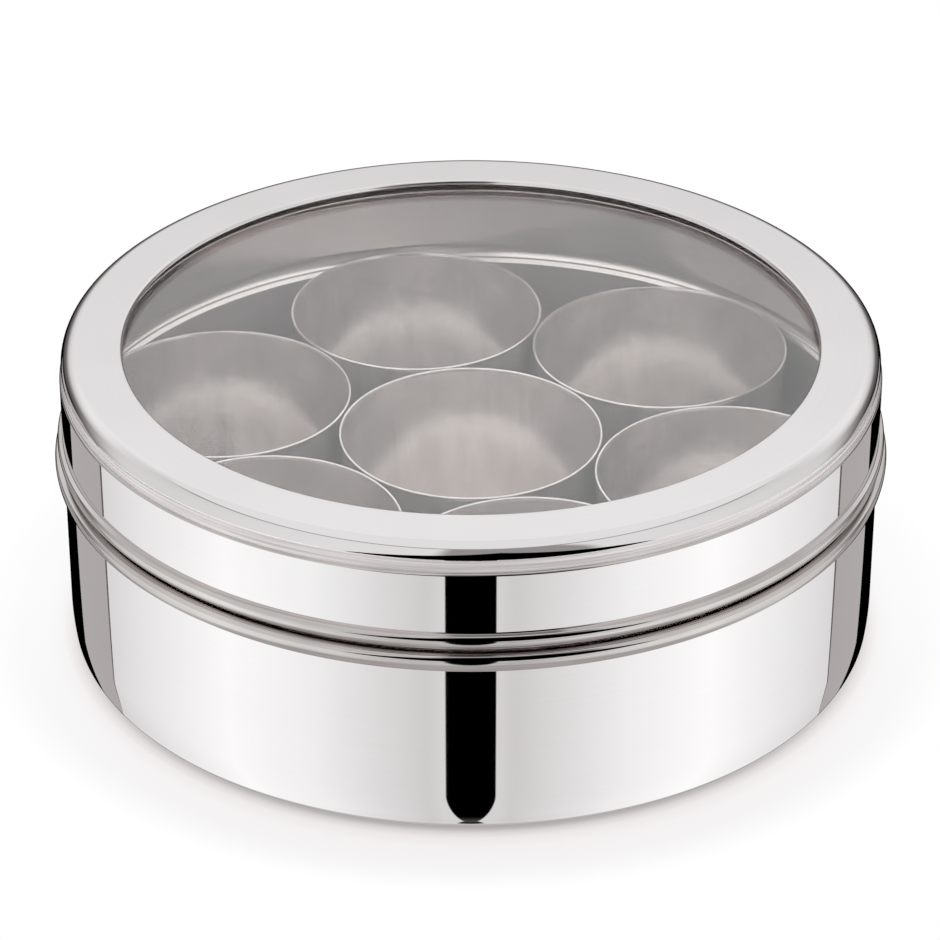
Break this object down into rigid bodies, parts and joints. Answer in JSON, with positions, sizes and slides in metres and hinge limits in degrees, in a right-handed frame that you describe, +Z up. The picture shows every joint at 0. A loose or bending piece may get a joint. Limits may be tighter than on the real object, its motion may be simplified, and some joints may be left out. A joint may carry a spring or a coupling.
{
  "type": "spice box",
  "caption": "Round stainless-steel spice box with small loose bowls inside, and a lift-off lid with a clear round window in it.",
  "frame": {"origin": "centre of the tub's flat base, on the surface that the box stands on", "axes": "+Z up along the common axis of tub and lid; -Y is the side that faces the viewer"},
  "size_m": [0.2048, 0.2048, 0.0762],
  "materials": {
    "tub_steel": "mirror polished stainless steel outside, satin inside",
    "lid_steel": "mirror polished stainless steel",
    "seal": "matt dark seal",
    "pane": "clear and smooth",
    "keeper_steel": "satin stainless steel",
    "bowl_steel": "spun satin stainless steel with a bright rim"
  },
  "bodies": {
    "tub": {"tub": "tub_steel"},
    "lid": {"lid_ring": "lid_steel", "window_seal": "seal", "window_pane": "pane", "pane_keeper": "keeper_steel"},
    "bowl_centre": {"bowl_centre": "bowl_steel"},
    "bowl_ring_1": {"bowl_ring_1": "bowl_steel"},
    "bowl_ring_2": {"bowl_ring_2": "bowl_steel"},
    "bowl_ring_3": {"bowl_ring_3": "bowl_steel"},
    "bowl_ring_4": {"bowl_ring_4": "bowl_steel"},
    "bowl_ring_5": {"bowl_ring_5": "bowl_steel"},
    "bowl_ring_6": {"bowl_ring_6": "bowl_steel"}
  },
  "joints": [
    {"name": "lid_lift", "type": "slide", "parent": "tub", "child": "lid", "axis": [0, 0, 1], "range_m": [0, 0.2]},
    {"name": "bowl_centre_lift", "type": "slide", "parent": "tub", "child": "bowl_centre", "axis": [0, 0, 1], "range_m": [0, 0.08]},
    {"name": "bowl_ring_1_lift", "type": "slide", "parent": "tub", "child": "bowl_ring_1", "axis": [0, 0, 1], "range_m": [0, 0.08]},
    {"name": "bowl_ring_2_lift", "type": "slide", "parent": "tub", "child": "bowl_ring_2", "axis": [0, 0, 1], "range_m": [0, 0.08]},
    {"name": "bowl_ring_3_lift", "type": "slide", "parent": "tub", "child": "bowl_ring_3", "axis": [0, 0, 1], "range_m": [0, 0.08]},
    {"name": "bowl_ring_4_lift", "type": "slide", "parent": "tub", "child": "bowl_ring_4", "axis": [0, 0, 1], "range_m": [0, 0.08]},
    {"name": "bowl_ring_5_lift", "type": "slide", "parent": "tub", "child": "bowl_ring_5", "axis": [0, 0, 1], "range_m": [0, 0.08]},
    {"name": "bowl_ring_6_lift", "type": "slide", "parent": "tub", "child": "bowl_ring_6", "axis": [0, 0, 1], "range_m": [0, 0.08]}
  ],
  "couplings": [
    {"joint": "bowl_centre_lift", "follows": "lid_lift", "ratio": 0.4},
    {"joint": "bowl_ring_1_lift", "follows": "lid_lift", "ratio": 0.4},
    {"joint": "bowl_ring_2_lift", "follows": "lid_lift", "ratio": 0.4},
    {"joint": "bowl_ring_3_lift", "follows": "lid_lift", "ratio": 0.4},
    {"joint": "bowl_ring_4_lift", "follows": "lid_lift", "ratio": 0.4},
    {"joint": "bowl_ring_5_lift", "follows": "lid_lift", "ratio": 0.4},
    {"joint": "bowl_ring_6_lift", "follows": "lid_lift", "ratio": 0.4}
  ]
}
